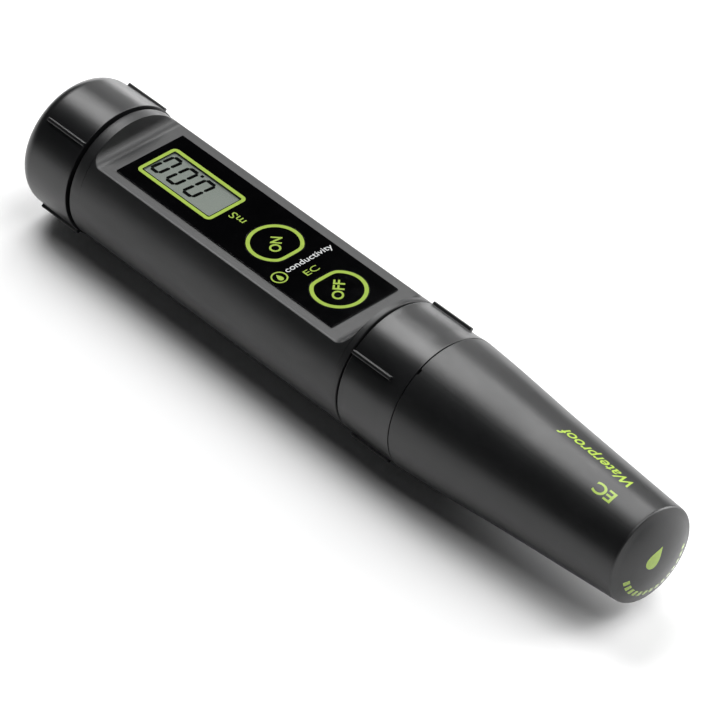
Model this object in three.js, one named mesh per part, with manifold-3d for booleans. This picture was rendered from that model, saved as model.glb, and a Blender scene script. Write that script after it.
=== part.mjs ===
// Waterproof pocket conductivity tester, in millimetres.
//
// Pen frame: X runs along the pen from the end of the battery cap (x = 0) to the tip of the
// protective cap (x = 200), Z is square to the keypad panel, and the pen's axis is y = z = 0.
// The exported group lays the pen on its back, so that z = 0 is the surface it rests on and
// the origin is under the middle of the pen.
import * as THREE from 'three';
import { mergeVertices } from 'three/addons/utils/BufferGeometryUtils.js';
import Module from 'manifold-3d';

const wasm = await Module();
wasm.setup();

// ---------------------------------------------------------------- driving dimensions
const LENGTH = 200;
const SIDES = 32; // facets round the outer shells
const FINE_GAP = 0.05; // between faces that rest on each other
const FIT_GAP = 0.3; // round a piece that drops into a pocket

const CAP = { end: 18.2, radius: 17.6, closedRadius: 17.1, bore: 15.3, endWall: 2.4, fillet: 4.4 };
const BODY = { start: 19.1, end: 113.1, radius: 17.2, bore: 14.4, chamfer: 0.4 };
const NECK = { radius: 14.1, bore: 12.3, start: 8, end: 124, chamfer: 0.4 };
const COLLAR = { start: 113.7, end: 130.6, radius: 17.2, bore: 15.3, shoulder: 126.3, lip: 13.6 };
const COLLAR_FLARE = { start: 127, radius: 17.4 };
const SLEEVE = { start: 131, radius: 17.4, waist: 17, waistAt: 137, tip: 12.45, tipAt: 196 };
const SLEEVE_MIDDLE = { at: 161, radius: 14.97 };
const SLEEVE_DOME = { radius: 23.7, edge: 11.9 };
const SLEEVE_WALL = 1.7;

const RIB = { thickness: 0.9, count: 4 };
const CAP_RIBS = { tip: 18.25, angle: THREE.MathUtils.degToRad(40) };
const COLLAR_RIBS = { tip: 18.1, angle: THREE.MathUtils.degToRad(46.5) };
const THREAD = { lead: 6, starts: 2, crest: 14.95, nutCrest: 14.6, rootWidth: 1.3, crestWidth: 0.7 };
const SEAL = { at: 17.3, groove: 13.2, halfWidth: 1, section: 0.9 };
const SPIGOT = { start: 111.4, radius: 11.9, bore: 12.2, socket: 111 };
const SPIGOT_SEAL = { at: 117, groove: 10.7, halfWidth: 0.8, section: 0.65 };

const PANEL = { z: 11.3, ceiling: 9.77, rimStart: 22.45, startCurve: 2.8, rimEnd: 111.35, endCurve: 4 };
const OVERLAY = { start: 28.4, end: 103.8, halfWidth: 10.35, thickness: 0.25 };
const OVERLAY_TOP = PANEL.z + FINE_GAP + OVERLAY.thickness;
const WINDOW = { x0: 32, x1: 55.5, y0: -5.1, y1: 4.8 };
const KEY = { radius: 7, flat: 6.15, travel: 0.3, thickness: 1.5, plunger: 2 };
const ON_KEY_X = 72.9;
const OFF_KEY_X = 94.95;

const BOARD = { z0: 2.1, z1: 3.3, start: 31, end: 104.6, halfWidth: 12.2 };
const LCD = { x0: 31.5, x1: 56.6, y0: -6.2, y1: 5.9, z0: 8.9, z1: 11.2 };
const SCREW_SPOTS = [[62.5, -9.5], [62.5, 9.5], [99, -9.5], [99, 9.5]];
const TRIMMER = { y: 9.2, z: 4.6, size: 2.4, start: 13, end: 17.5, screw: 1 };

const CELL = { radius: 5.8, pitch: 5.35, length: 5.3, start: 6.9, count: 4 };
const WELL = { start: 8.6, end: 29.6, outer: 8.3, inner: 7.45, flange: 12, wall: 1 };
const CARRIER = { head: 4.2, headEnd: 5.4, headRadius: 11, outer: 7.1, inner: 5.98, end: 28.2 };

const PROBE = { flange: 14.3, shoulder: 13.3, shoulderEnd: 141, shaft: 8.4, tip: 7.6, end: 178 };
const ELECTRODE = { radius: 1.4, y: 3.1, z: 1.2, start: 174, end: 183.6 };
const SENSOR = { radius: 1.2, z: -3.6, start: 174, end: 182.2 };

// ---------------------------------------------------------------- materials
function plastic(color, roughness = 0.5) {
  return new THREE.MeshStandardMaterial({ color, roughness, metalness: 0 });
}

function metal(color, roughness = 0.3) {
  return new THREE.MeshStandardMaterial({ color, roughness, metalness: 1 });
}

const BLACK = 0x17181a;
const SATIN_BLACK = 0x1b1c1e;
const LIME = 0xb4d746;

// ---------------------------------------------------------------- shape helpers
function signedVolume(geometry) {
  const position = geometry.getAttribute('position');
  const corner = [new THREE.Vector3(), new THREE.Vector3(), new THREE.Vector3()];
  let volume = 0;
  for (let i = 0; i < geometry.index.count; i += 3) {
    corner.forEach((point, k) => point.fromBufferAttribute(position, geometry.index.getX(i + k)));
    volume += corner[0].dot(corner[1].cross(corner[2])) / 6;
  }
  return volume;
}

// Welds a three.js geometry into one closed mesh whose faces point out.
function closed(geometry) {
  const bare = geometry.clone();
  bare.deleteAttribute('normal');
  bare.deleteAttribute('uv');
  const welded = mergeVertices(bare, 1e-4);
  const source = welded.index.array;
  const inward = signedVolume(welded) < 0;
  const kept = [];
  for (let i = 0; i < source.length; i += 3) {
    const [a, b, c] = source.slice(i, i + 3);
    if (a !== b && b !== c && c !== a) {
      kept.push(a, inward ? c : b, inward ? b : c);
    }
  }
  welded.setIndex(kept);
  return welded;
}

function solid(geometry) {
  const welded = closed(geometry);
  const mesh = new wasm.Mesh({
    numProp: 3,
    vertProperties: welded.getAttribute('position').array,
    triVerts: new Uint32Array(welded.index.array),
  });
  return new wasm.Manifold(mesh);
}

function geometryOf(manifold) {
  const mesh = manifold.getMesh();
  const geometry = new THREE.BufferGeometry();
  geometry.setAttribute('position', new THREE.BufferAttribute(mesh.vertProperties, 3));
  geometry.setIndex(new THREE.BufferAttribute(mesh.triVerts, 1));
  geometry.computeVertexNormals();
  return geometry;
}

function join(first, ...others) {
  return others.reduce((whole, piece) => whole.add(piece), first);
}

function cut(first, ...tools) {
  return tools.reduce((whole, tool) => whole.subtract(tool), first);
}

// Points of an arc in an [x, radius] profile; angles in degrees from the +X direction.
function arc(x, radius, size, from, to, steps = 4) {
  const points = [];
  for (let i = 0; i <= steps; i += 1) {
    const angle = THREE.MathUtils.degToRad(from + ((to - from) * i) / steps);
    points.push([x + size * Math.cos(angle), radius + size * Math.sin(angle)]);
  }
  return points;
}

// A body of revolution about the pen's axis, from [x, radius] points, with flats on ±Y and ±Z.
function turned(profile, sides = SIDES) {
  const points = profile.map(([x, radius]) => new THREE.Vector2(radius, x));
  const geometry = new THREE.LatheGeometry(points, sides, Math.PI / sides);
  return geometry.rotateZ(-Math.PI / 2);
}

// The corner radius whose flats lie at the given radius, for shells that rest on a flat.
function overFlats(radius) {
  return radius / Math.cos(Math.PI / SIDES);
}

function block(x0, x1, y0, y1, z0, z1) {
  const geometry = new THREE.BoxGeometry(x1 - x0, y1 - y0, z1 - z0);
  return geometry.translate((x0 + x1) / 2, (y0 + y1) / 2, (z0 + z1) / 2);
}

function rodAlongX(x0, x1, radius, y = 0, z = 0, sides = 16) {
  const geometry = new THREE.CylinderGeometry(radius, radius, x1 - x0, sides);
  return geometry.rotateZ(Math.PI / 2).translate((x0 + x1) / 2, y, z);
}

function rodAlongZ(z0, z1, radius, x, y, sides = 16) {
  const geometry = new THREE.CylinderGeometry(radius, radius, z1 - z0, sides);
  return geometry.rotateX(Math.PI / 2).translate(x, y, (z0 + z1) / 2);
}

// A plate of any outline in the XY plane between two heights.
function plate(outline, z0, z1, holes = []) {
  const shape = new THREE.Shape(outline.map(([x, y]) => new THREE.Vector2(x, y)));
  shape.holes = holes.map((hole) => new THREE.Path(hole.map(([x, y]) => new THREE.Vector2(x, y))));
  const geometry = new THREE.ExtrudeGeometry(shape, { depth: z1 - z0, bevelEnabled: false });
  return geometry.translate(0, 0, z0);
}

function rectangle(x0, x1, y0, y1) {
  return [[x0, y0], [x1, y0], [x1, y1], [x0, y1]];
}

function ringSeal(at, radius, section) {
  return turned(arc(at, radius, section, 0, 360, 6));
}

// One helical ridge about the pen's axis: a trapezium from the root radius to the crest radius,
// bent round the helix, whose height runs out to nothing over its first and last stretch.
function threadRidge(root, crest, start, turns, phase) {
  const { lead, rootWidth, crestWidth } = THREAD;
  const section = new THREE.Shape([
    new THREE.Vector2(root, -rootWidth / 2),
    new THREE.Vector2(crest, -crestWidth / 2),
    new THREE.Vector2(crest, crestWidth / 2),
    new THREE.Vector2(root, rootWidth / 2),
  ]);
  const steps = Math.round(24 * turns);
  const ridge = new THREE.ExtrudeGeometry(section, { depth: turns, steps, bevelEnabled: false });
  const position = ridge.getAttribute('position');
  const runOut = 0.1;
  for (let i = 0; i < position.count; i += 1) {
    const turn = position.getZ(i);
    const height = Math.min(1, 0.1 + turn / runOut, 0.1 + (turns - turn) / runOut);
    const radius = root + (position.getX(i) - root) * height;
    const angle = phase + 2 * Math.PI * turn;
    const along = start + lead * turn + position.getY(i);
    position.setXYZ(i, along, radius * Math.cos(angle), radius * Math.sin(angle));
  }
  return ridge;
}

function thread(root, crest, start, turns) {
  const ridges = [];
  for (let i = 0; i < THREAD.starts; i += 1) {
    const phase = (2 * Math.PI * i) / THREAD.starts;
    ridges.push(solid(threadRidge(root, crest, start, turns, phase)));
  }
  return ridges;
}

// Ribs that stop the pen from rolling and give grip to turn the piece.
function antiRollRibs(start, end, { tip, angle }) {
  const ribs = [];
  for (let i = 0; i < RIB.count; i += 1) {
    const rib = block(start, end, -RIB.thickness / 2, RIB.thickness / 2, 16.6, tip);
    rib.rotateX(angle + (2 * Math.PI * i) / RIB.count);
    ribs.push(solid(rib));
  }
  return ribs;
}

// ---------------------------------------------------------------- assembly
const pen = new THREE.Group();
pen.position.set(-LENGTH / 2, 0, CAP.radius);
const assembly = new THREE.Group();
assembly.add(pen);

function add(name, geometry, material) {
  const mesh = new THREE.Mesh(closed(geometry), material);
  mesh.geometry.computeVertexNormals();
  mesh.name = name;
  pen.add(mesh);
}

// ---------------------------------------------------------------- housing
const NECK_THREAD_START = 9.2;
const COLLAR_THREAD_START = 115.5;

function housingOutside() {
  const shell = overFlats(BODY.radius);
  const soft = BODY.chamfer;
  return solid(turned([
    [NECK.start, 0],
    [NECK.start, NECK.radius - NECK.chamfer],
    [NECK.start + NECK.chamfer, NECK.radius],
    [SEAL.at - SEAL.halfWidth, NECK.radius],
    [SEAL.at - SEAL.halfWidth, SEAL.groove],
    [SEAL.at + SEAL.halfWidth, SEAL.groove],
    [SEAL.at + SEAL.halfWidth, NECK.radius],
    [BODY.start, NECK.radius],
    [BODY.start, shell - soft],
    [BODY.start + soft, shell],
    [BODY.end - soft, shell],
    [BODY.end, shell - soft],
    [BODY.end, NECK.radius],
    [NECK.end - NECK.chamfer, NECK.radius],
    [NECK.end, NECK.radius - NECK.chamfer],
    [NECK.end, 0],
  ]));
}

// The room inside: open through both necks, with a flat ceiling under the keypad panel.
function housingInside() {
  const mainStart = BODY.start + 0.8;
  const room = solid(turned([
    [NECK.start - 1, 0],
    [NECK.start - 1, NECK.bore],
    [mainStart, NECK.bore],
    [mainStart, BODY.bore],
    [SPIGOT.socket, BODY.bore],
    [SPIGOT.socket, SPIGOT.bore],
    [NECK.end + 1, SPIGOT.bore],
    [NECK.end + 1, 0],
  ]));
  const ceiling = solid(block(mainStart, SPIGOT.socket, -20, 20, PANEL.ceiling, 20));
  return room.subtract(ceiling);
}

// The keypad recess: a flat cut across the top, whose ends curve up to the shell.
function keypadRecess() {
  const { z, rimStart, startCurve, rimEnd, endCurve } = PANEL;
  const top = 20;
  const profile = [
    ...arc(rimStart + startCurve, z + startCurve, startCurve, 180, 270, 5),
    ...arc(rimEnd - endCurve, z + endCurve, endCurve, 270, 360, 5),
    [rimEnd, top],
    [rimStart, top],
  ];
  const shape = new THREE.Shape(profile.map(([x, height]) => new THREE.Vector2(x, height)));
  const slab = new THREE.ExtrudeGeometry(shape, { depth: 40, bevelEnabled: false });
  return solid(slab.translate(0, 0, -20).rotateX(Math.PI / 2));
}

// A key's outline: a circle with one flat, which faces the other key.
function keyOutline(centre, facing, clearance) {
  const radius = KEY.radius + clearance;
  const flat = KEY.flat + clearance;
  const half = Math.acos(flat / radius);
  const start = facing > 0 ? half : Math.PI + half;
  const steps = 22;
  const points = [];
  for (let i = 0; i <= steps; i += 1) {
    const angle = start + ((2 * Math.PI - 2 * half) * i) / steps;
    points.push([centre + radius * Math.cos(angle), radius * Math.sin(angle)]);
  }
  return points;
}

function screwBosses() {
  return SCREW_SPOTS.map(([x, y]) => solid(rodAlongZ(BOARD.z1 + FINE_GAP, PANEL.ceiling + 0.5, 2.3, x, y)));
}

function screwPilots() {
  return SCREW_SPOTS.map(([x, y]) => solid(rodAlongZ(BOARD.z0, 8.6, 1.1, x, y)));
}

function addHousing() {
  const displayHole = rectangle(LCD.x0 - FIT_GAP, LCD.x1 + FIT_GAP, LCD.y0 - FIT_GAP, LCD.y1 + FIT_GAP);
  const shell = cut(
    join(housingOutside(), ...thread(13.9, THREAD.crest, NECK_THREAD_START, 1)),
    housingInside(),
    keypadRecess(),
    solid(plate(displayHole, 9, 13)),
    solid(plate(keyOutline(ON_KEY_X, 1, FIT_GAP), 9, 13)),
    solid(plate(keyOutline(OFF_KEY_X, -1, FIT_GAP), 9, 13)),
  );
  const housing = cut(
    join(shell, ...thread(13.9, THREAD.crest, COLLAR_THREAD_START, 1), ...screwBosses()),
    ...screwPilots(),
  );
  add('housing', geometryOf(housing), plastic(BLACK, 0.55));
}

// ---------------------------------------------------------------- keypad and display
function addKeypad() {
  const outline = rectangle(OVERLAY.start, OVERLAY.end, -OVERLAY.halfWidth, OVERLAY.halfWidth);
  const holes = [
    rectangle(WINDOW.x0, WINDOW.x1, WINDOW.y0, WINDOW.y1),
    keyOutline(ON_KEY_X, 1, 0.15),
    keyOutline(OFF_KEY_X, -1, 0.15),
  ];
  const bottom = PANEL.z + FINE_GAP;
  add('keypad_overlay', plate(outline, bottom, OVERLAY_TOP, holes), plastic(0x050506, 0.12));

  const switchTop = 5.4;
  const keys = [['on_key', ON_KEY_X, 1], ['off_key', OFF_KEY_X, -1]];
  for (const [name, x, facing] of keys) {
    const face = solid(plate(keyOutline(x, facing, 0), OVERLAY_TOP - KEY.thickness, OVERLAY_TOP));
    const plungerEnd = switchTop + KEY.travel + FINE_GAP;
    const stem = solid(rodAlongZ(plungerEnd, OVERLAY_TOP - KEY.thickness + 0.5, KEY.plunger, x, 0));
    add(name, geometryOf(face.add(stem)), plastic(LIME, 0.15));
  }

  const switches = [['on_switch', ON_KEY_X], ['off_switch', OFF_KEY_X]];
  for (const [name, x] of switches) {
    const base = solid(block(x - 3, x + 3, -3, 3, BOARD.z1 + FINE_GAP, 4.9));
    const button = solid(rodAlongZ(4.5, switchTop, 1.7, x, 0));
    add(name, geometryOf(base.add(button)), metal(0xb8b8b4, 0.35));
  }
}

function addDisplay() {
  const pane = rectangle(WINDOW.x0 + 0.15, WINDOW.x1 - 0.15, WINDOW.y0 + 0.15, WINDOW.y1 - 0.15);
  const paneMaterial = new THREE.MeshStandardMaterial({
    color: 0xe8eee8,
    roughness: 0.05,
    transparent: true,
    opacity: 0.35,
  });
  add('display_window', plate(pane, LCD.z1 + 0.08, OVERLAY_TOP - 0.1), paneMaterial);
  add('lcd_panel', block(LCD.x0, LCD.x1, LCD.y0, LCD.y1, LCD.z0, LCD.z1), plastic(0x97a297, 0.3));

  const outer = rectangle(30.2, 58.6, LCD.y0 - 2, LCD.y1 + 2);
  const inner = rectangle(LCD.x0 - FIT_GAP, LCD.x1 + FIT_GAP, LCD.y0 - FIT_GAP, LCD.y1 + FIT_GAP);
  add('lcd_frame', plate(outer, BOARD.z1 + FINE_GAP, PANEL.ceiling - 0.15, [inner]), plastic(0xd8d8d2));

  const strips = [['lcd_connector_near', -6, -4.6], ['lcd_connector_far', 4.3, 5.7]];
  for (const [name, y0, y1] of strips) {
    const strip = block(32, 56, y0, y1, BOARD.z1 + FINE_GAP, LCD.z0 - FINE_GAP);
    add(name, strip, plastic(0x6d7076, 0.8));
  }
}

// ---------------------------------------------------------------- circuit board
function addCircuitBoard() {
  const { start, end, halfWidth } = BOARD;
  const tongue = { start: 12, y0: 8.3, y1: 10.6 };
  const outline = [
    [start, -halfWidth],
    [end, -halfWidth],
    [end, halfWidth],
    [start, halfWidth],
    [start, tongue.y1],
    [tongue.start, tongue.y1],
    [tongue.start, tongue.y0],
    [start, tongue.y0],
  ];
  const holes = SCREW_SPOTS.map(([x, y]) => solid(rodAlongZ(1, 5, 1.1, x, y)));
  const board = cut(solid(plate(outline, BOARD.z0, BOARD.z1)), ...holes);
  add('circuit_board', geometryOf(board), plastic(0x1d5a38, 0.4));

  SCREW_SPOTS.forEach(([x, y], i) => {
    const head = solid(rodAlongZ(0.7, BOARD.z0 - FINE_GAP, 1.9, x, y));
    const shank = solid(rodAlongZ(1.2, 8, 0.8, x, y, 12));
    add(`board_screw_${i + 1}`, geometryOf(head.add(shank)), metal(0xa9abae, 0.3));
  });

  const under = BOARD.z0 - FINE_GAP;
  add('controller_chip', block(44, 54, -5, 5, under - 1.6, under), plastic(0x121214, 0.45));
  add('clock_crystal', rodAlongX(76, 84, 1.5, 4.5, under - 1.55), metal(0xc0c0c0, 0.25));
  add('buffer_capacitor', rodAlongZ(-4, under, 2.6, 88, -3), plastic(0x2b3346, 0.4));

  const socketBody = solid(block(98.4, BOARD.end, -4.5, 4.5, BOARD.z1 + FINE_GAP, 6.4));
  const socketHoles = [-3, 0, 3].map((y) => solid(rodAlongX(98.9, 106, 0.75, y, 4.9, 8)));
  add('board_socket', geometryOf(cut(socketBody, ...socketHoles)), plastic(0x202124, 0.5));
}

function addTrimmer() {
  const half = TRIMMER.size / 2;
  const { y, z, start, end } = TRIMMER;
  const box = block(start, end, y - half, y + half, z - half + FINE_GAP, z + half);
  add('trimmer_body', box, plastic(0x2458a8, 0.4));
  const screw = solid(rodAlongX(start - 1.4, start - FINE_GAP, TRIMMER.screw, y, z));
  const slot = solid(block(start - 2, start - 0.9, y - 2, y + 2, z - 0.2, z + 0.2));
  add('trimmer_screw', geometryOf(screw.subtract(slot)), metal(0xb98b2e, 0.3));
}

// ---------------------------------------------------------------- battery end
function addBatteryWell() {
  const { start, end, outer, inner, flange, wall } = WELL;
  const contactHole = 2;
  const ring = turned([
    [start, inner],
    [start, flange],
    [start + 1.6, flange],
    [start + 1.6, outer],
    [end, outer],
    [end, contactHole],
    [end - wall, contactHole],
    [end - wall, inner],
    [start, inner],
  ], 24);
  const trimmerHole = solid(rodAlongX(start - 1, start + 3, 1.2, TRIMMER.y, TRIMMER.z));
  const stripSlot = solid(block(start - 1, start + 3, -9.3, -8.3 - 0.1, -1.9, 2.3));
  add('battery_well', geometryOf(cut(solid(ring), trimmerHole, stripSlot)), plastic(0x26272a, 0.6));

  add('battery_contact_pin', rodAlongX(28.4, 36, 1.7), metal(0xc8a24a, 0.25));
  add('battery_contact_strip', block(5.8, 36, -9, -8.6, -1.6, 2), metal(0xc8a24a, 0.25));
  add('neck_seal', ringSeal(SEAL.at, SEAL.groove + 0.1 + SEAL.section, SEAL.section), plastic(0x101010, 0.8));
}

function addCarrier() {
  const { head, headEnd, headRadius, outer, inner, end } = CARRIER;
  const button = { start: 2.75, end: 3.35, radius: 2.6, neck: 1.8 };
  const shape = solid(turned([
    [button.start, 0],
    [button.start, button.radius],
    [button.end, button.radius],
    [button.end, button.neck],
    [head, button.neck],
    [head, headRadius],
    [headEnd, headRadius],
    [headEnd, outer],
    [end, outer],
    [end, inner],
    [headEnd, inner],
    [headEnd, 0],
  ], 24));
  const loadingSlot = solid(block(headEnd + 1, end - 1, -4.9, 4.9, 2.6, 10));
  add('battery_carrier', geometryOf(shape.subtract(loadingSlot)), plastic(0x2a2b2e, 0.5));

  for (let i = 0; i < CELL.count; i += 1) {
    const x0 = CELL.start + i * CELL.pitch;
    const x1 = x0 + CELL.length;
    const can = turned([
      [x0, 0],
      [x0, 4.4],
      [x0 + 0.4, 4.4],
      [x0 + 0.7, CELL.radius],
      [x1, CELL.radius],
      [x1, 0],
    ], 20);
    add(`battery_cell_${i + 1}`, can, metal(0xc9cbcd, 0.2));
  }

  const wire = new THREE.Shape();
  wire.absarc(0, 0, 0.25, 0, 2 * Math.PI, false);
  const coil = new THREE.Curve();
  const coilTurns = 2;
  coil.getPoint = (t, target = new THREE.Vector3()) => {
    const angle = 2 * Math.PI * coilTurns * t;
    const x = THREE.MathUtils.lerp(headEnd + 0.32, CELL.start - 0.32, t);
    const radius = THREE.MathUtils.lerp(4.6, 3.2, t);
    return target.set(x, radius * Math.cos(angle), radius * Math.sin(angle));
  };
  const steps = 12 * coilTurns;
  const sweep = { extrudePath: coil, steps, curveSegments: 3, bevelEnabled: false };
  add('carrier_spring', new THREE.ExtrudeGeometry(wire, sweep), metal(0xb9bcc0, 0.25));
}

function addBatteryCap() {
  const shell = overFlats(CAP.radius);
  const closed = overFlats(CAP.closedRadius);
  const { end, bore, endWall, fillet } = CAP;
  const swivel = { outer: 4.6, inner: 2.9, lip: 2.1, lipStart: 3.6, end: 4.1 };
  const body = solid(turned([
    [0, 0],
    ...arc(fillet, closed - fillet, fillet, 180, 90, 5),
    [end - 0.3, shell],
    [end, shell - 0.3],
    [end, bore],
    [endWall + 1, bore],
    [endWall, bore - 1],
    [endWall, swivel.outer],
    [swivel.end, swivel.outer],
    [swivel.end, swivel.lip],
    [swivel.lipStart, swivel.lip],
    [swivel.lipStart, swivel.inner],
    [endWall, swivel.inner],
    [endWall, 0],
  ]));
  const halfPitch = THREAD.lead / THREAD.starts / 2;
  const ridges = thread(bore + 0.3, THREAD.nutCrest, NECK_THREAD_START + halfPitch, 0.75);
  const cap = join(body, ...antiRollRibs(5, end - 0.1, CAP_RIBS), ...ridges);
  add('battery_cap', geometryOf(cap), plastic(SATIN_BLACK, 0.42));
}

// ---------------------------------------------------------------- probe end
function addProbe() {
  const groove = SPIGOT_SEAL;
  const body = solid(turned([
    [SPIGOT.start, 0],
    [SPIGOT.start, SPIGOT.radius - 0.4],
    [SPIGOT.start + 0.4, SPIGOT.radius],
    [groove.at - groove.halfWidth, SPIGOT.radius],
    [groove.at - groove.halfWidth, groove.groove],
    [groove.at + groove.halfWidth, groove.groove],
    [groove.at + groove.halfWidth, SPIGOT.radius],
    [NECK.end + FIT_GAP, SPIGOT.radius],
    [NECK.end + FIT_GAP, PROBE.flange],
    [COLLAR.shoulder - FIT_GAP, PROBE.flange],
    [COLLAR.shoulder - FIT_GAP, PROBE.shoulder],
    [PROBE.shoulderEnd, PROBE.shoulder],
    ...arc(PROBE.shoulderEnd, PROBE.shoulder - 4.5, 4.5, 90, 0, 3).slice(1),
    [149, PROBE.shaft],
    [PROBE.end - 1.5, PROBE.tip],
    [PROBE.end, PROBE.tip - 1.5],
    [PROBE.end, 0],
  ]));
  const clearance = 0.1;
  const pockets = [
    rodAlongX(173.9, 180, ELECTRODE.radius + clearance, -ELECTRODE.y, ELECTRODE.z),
    rodAlongX(173.9, 180, ELECTRODE.radius + clearance, ELECTRODE.y, ELECTRODE.z),
    rodAlongX(173.9, 180, SENSOR.radius + clearance, 0, SENSOR.z),
  ].map(solid);
  add('probe_body', geometryOf(cut(body, ...pockets)), plastic(0x1f2022, 0.45));

  const electrodes = [['electrode_near', -ELECTRODE.y], ['electrode_far', ELECTRODE.y]];
  for (const [name, y] of electrodes) {
    const rod = rodAlongX(ELECTRODE.start, ELECTRODE.end, ELECTRODE.radius, y, ELECTRODE.z);
    add(name, rod, plastic(0x3a3a3c, 0.6));
  }
  add('temperature_sensor', rodAlongX(SENSOR.start, SENSOR.end, SENSOR.radius, 0, SENSOR.z), metal(0xc4c6c8));

  const sealRadius = groove.groove + FINE_GAP + groove.section;
  add('probe_seal', ringSeal(groove.at, sealRadius, groove.section), plastic(0x101010, 0.8));

  const plugBody = solid(block(109.6, SPIGOT.start - FINE_GAP, -4.5, 4.5, 3.4, 6.4));
  const pins = [-3, 0, 3].map((y) => solid(rodAlongX(101, 110, 0.45, y, 4.9, 8)));
  add('probe_plug', geometryOf(join(plugBody, ...pins)), metal(0xc8a24a, 0.3));
}

function addCollar() {
  const shell = overFlats(COLLAR.radius);
  const mouth = overFlats(COLLAR_FLARE.radius);
  const { start, end, bore, shoulder, lip } = COLLAR;
  const ring = solid(turned([
    [start, bore],
    [start, shell - 0.3],
    [start + 0.3, shell],
    [COLLAR_FLARE.start, shell],
    [end - 0.3, mouth],
    [end, mouth - 0.3],
    [end, lip],
    [shoulder, lip],
    [shoulder, bore],
    [start, bore],
  ]));
  const halfPitch = THREAD.lead / THREAD.starts / 2;
  const ridges = thread(bore + 0.3, THREAD.nutCrest, COLLAR_THREAD_START + halfPitch, 0.75);
  const ribs = antiRollRibs(start + 0.1, 126.2, COLLAR_RIBS);
  const collar = join(ring, ...ribs, ...ridges);
  add('collar_ring', geometryOf(collar), plastic(SATIN_BLACK, 0.42));
}

function addProtectiveCap() {
  const { start, radius, waist, waistAt, tip, tipAt } = SLEEVE;
  const middle = SLEEVE_MIDDLE;
  const dome = SLEEVE_DOME;
  const domeSweep = THREE.MathUtils.radToDeg(Math.asin(dome.edge / dome.radius));
  const shell = solid(turned([
    ...arc(LENGTH - dome.radius, 0, dome.radius, 0, domeSweep, 6),
    [tipAt + 0.5, tip - 0.15],
    [tipAt, tip],
    [middle.at, middle.radius],
    [waistAt, waist],
    [start + 0.2, radius],
    [start, radius - 0.2],
    [start, radius - SLEEVE_WALL],
    [waistAt, waist - SLEEVE_WALL],
    [middle.at, middle.radius - SLEEVE_WALL],
    [tipAt - 1.4, tip - SLEEVE_WALL],
    [tipAt + 0.4, tip - SLEEVE_WALL - 1.6],
    [LENGTH - 2.4, 6],
    [LENGTH - 2.1, 0],
  ]));
  const ribs = [];
  for (let i = 0; i < 6; i += 1) {
    const rib = block(start + 0.8, PROBE.shoulderEnd, -0.7, 0.7, PROBE.shoulder + 0.25, radius - 1.3);
    ribs.push(solid(rib.rotateX((Math.PI * i) / 3)));
  }
  const notch = block(start - 1, start + 0.5, -0.7, 0.7, radius - 1.1, radius + 1);
  const notchCut = solid(notch.rotateX(-Math.PI / 6).rotateX(Math.PI / 3));
  const sleeve = cut(join(shell, ...ribs), notchCut);
  add('protective_cap', geometryOf(sleeve), plastic(BLACK, 0.48));
}

addHousing();
addKeypad();
addDisplay();
addCircuitBoard();
addTrimmer();
addBatteryWell();
addCarrier();
addBatteryCap();
addProbe();
addCollar();
addProtectiveCap();

export default assembly;
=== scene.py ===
"""Looks for the waterproof pocket conductivity tester.

Lengths are in millimetres in the pen frame, as in the part's source: x along the pen from the battery cap's
end, y across it, z square to the keypad, with the pen's axis at y = z = 0. put() turns them into the row
frame's metres. An angle round the pen is in degrees from +y (the far side) over the top (90) to -y (180).
"""
import math

import bmesh
import bpy
import numpy as np
from mathutils import Matrix, Vector


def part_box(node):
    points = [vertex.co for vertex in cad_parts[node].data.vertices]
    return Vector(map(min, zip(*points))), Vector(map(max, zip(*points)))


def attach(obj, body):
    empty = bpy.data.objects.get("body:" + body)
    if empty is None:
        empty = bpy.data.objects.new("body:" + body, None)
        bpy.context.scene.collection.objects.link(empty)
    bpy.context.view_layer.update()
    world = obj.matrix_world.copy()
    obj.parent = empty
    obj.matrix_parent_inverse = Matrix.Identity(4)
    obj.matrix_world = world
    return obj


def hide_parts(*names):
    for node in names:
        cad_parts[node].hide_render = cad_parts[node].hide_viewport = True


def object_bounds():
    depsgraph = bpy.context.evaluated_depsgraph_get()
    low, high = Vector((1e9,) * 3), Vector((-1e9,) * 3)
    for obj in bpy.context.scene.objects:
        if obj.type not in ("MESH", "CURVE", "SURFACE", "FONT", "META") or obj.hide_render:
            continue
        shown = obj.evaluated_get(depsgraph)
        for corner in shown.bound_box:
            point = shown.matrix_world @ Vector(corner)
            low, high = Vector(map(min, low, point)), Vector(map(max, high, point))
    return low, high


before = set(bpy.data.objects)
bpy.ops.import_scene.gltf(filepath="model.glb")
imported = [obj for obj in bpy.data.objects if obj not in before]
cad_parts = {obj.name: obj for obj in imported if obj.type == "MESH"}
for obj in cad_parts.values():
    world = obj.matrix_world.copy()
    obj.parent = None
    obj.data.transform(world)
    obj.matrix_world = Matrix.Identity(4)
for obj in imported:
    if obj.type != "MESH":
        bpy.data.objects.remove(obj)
CAD_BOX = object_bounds()

# ---------------- places, all from the frame
MM = 0.001
START = CAD_BOX[0].x
AXIS_Z = (CAD_BOX[0].z + CAD_BOX[1].z) / 2


def span(node):
    """(lowest, highest) corner of a CAD node in pen millimetres."""
    low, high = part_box(node)
    shift = Vector((START, 0, AXIS_Z))
    return (low - shift) / MM, (high - shift) / MM


def middle_of(node):
    return [(low + high) / 2 for low, high in zip(*span(node))]


def ends_of(node):
    low, high = span(node)
    return low.x, high.x


def radius_of(node):
    low, high = span(node)
    return (high.y - low.y) / 2


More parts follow.
